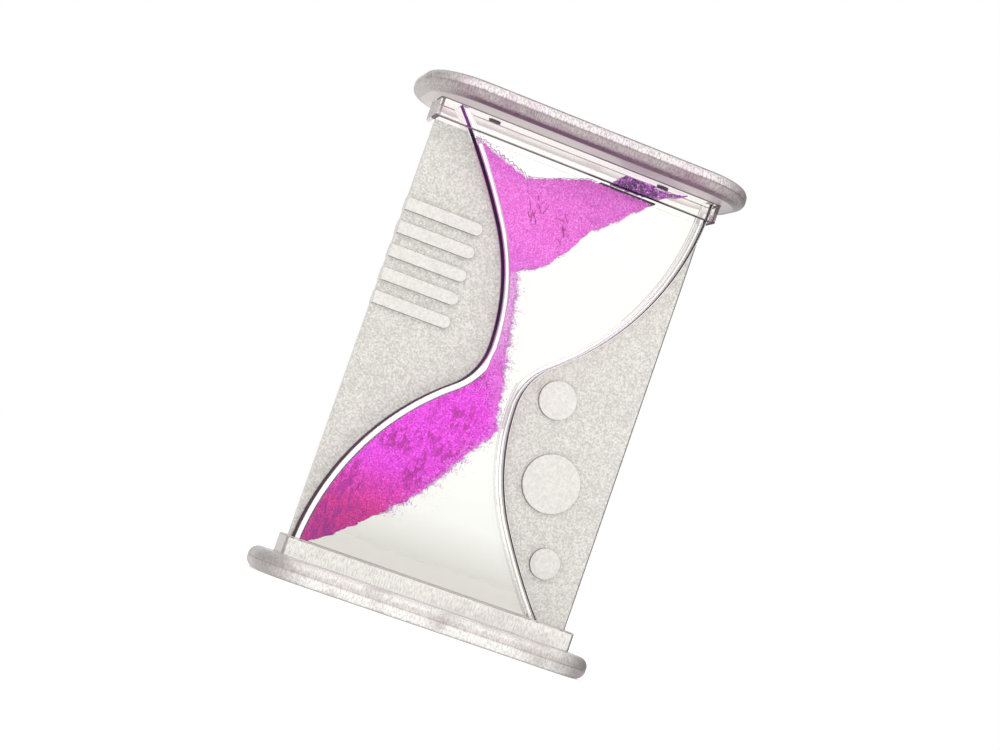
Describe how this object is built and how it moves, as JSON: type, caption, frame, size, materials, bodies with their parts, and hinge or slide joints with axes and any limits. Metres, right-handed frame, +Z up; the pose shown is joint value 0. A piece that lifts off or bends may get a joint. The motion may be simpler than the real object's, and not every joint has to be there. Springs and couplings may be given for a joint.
{
  "type": "liquid motion timer",
  "caption": "Flat, clear, liquid-filled hourglass with rising pink beads, frosted wings with raised pads, and a flanged cap at each end.",
  "frame": {"origin": "middle of the bottom flange's resting face", "axes": "+Z up along the timer's height, X across its width, -Y towards the front face"},
  "size_m": [0.095, 0.04, 0.14],
  "materials": {
    "clear_moulding": "clear moulded polystyrene, polished over the chamber and spark-textured on the wings",
    "clear_cap": "clear moulded acrylic with a full bullnose edge, smoky grey where it is thick",
    "plug": "translucent moulded polyethylene",
    "liquid": "clear colourless liquid",
    "pink_beads": "fine magenta-pink beads, packed and wet"
  },
  "bodies": {
    "root": {"body": "clear_moulding", "bottom_cap": "clear_cap", "top_cap": "clear_cap", "bottom_cover": "clear_cap", "top_cover": "clear_cap", "vent_plug": "plug", "fill_plug": "plug", "bottom_plugs": "plug", "upper_beads": "pink_beads", "bead_stream": "pink_beads", "lower_beads": "pink_beads", "liquid": "liquid"}
  },
  "joints": []
}
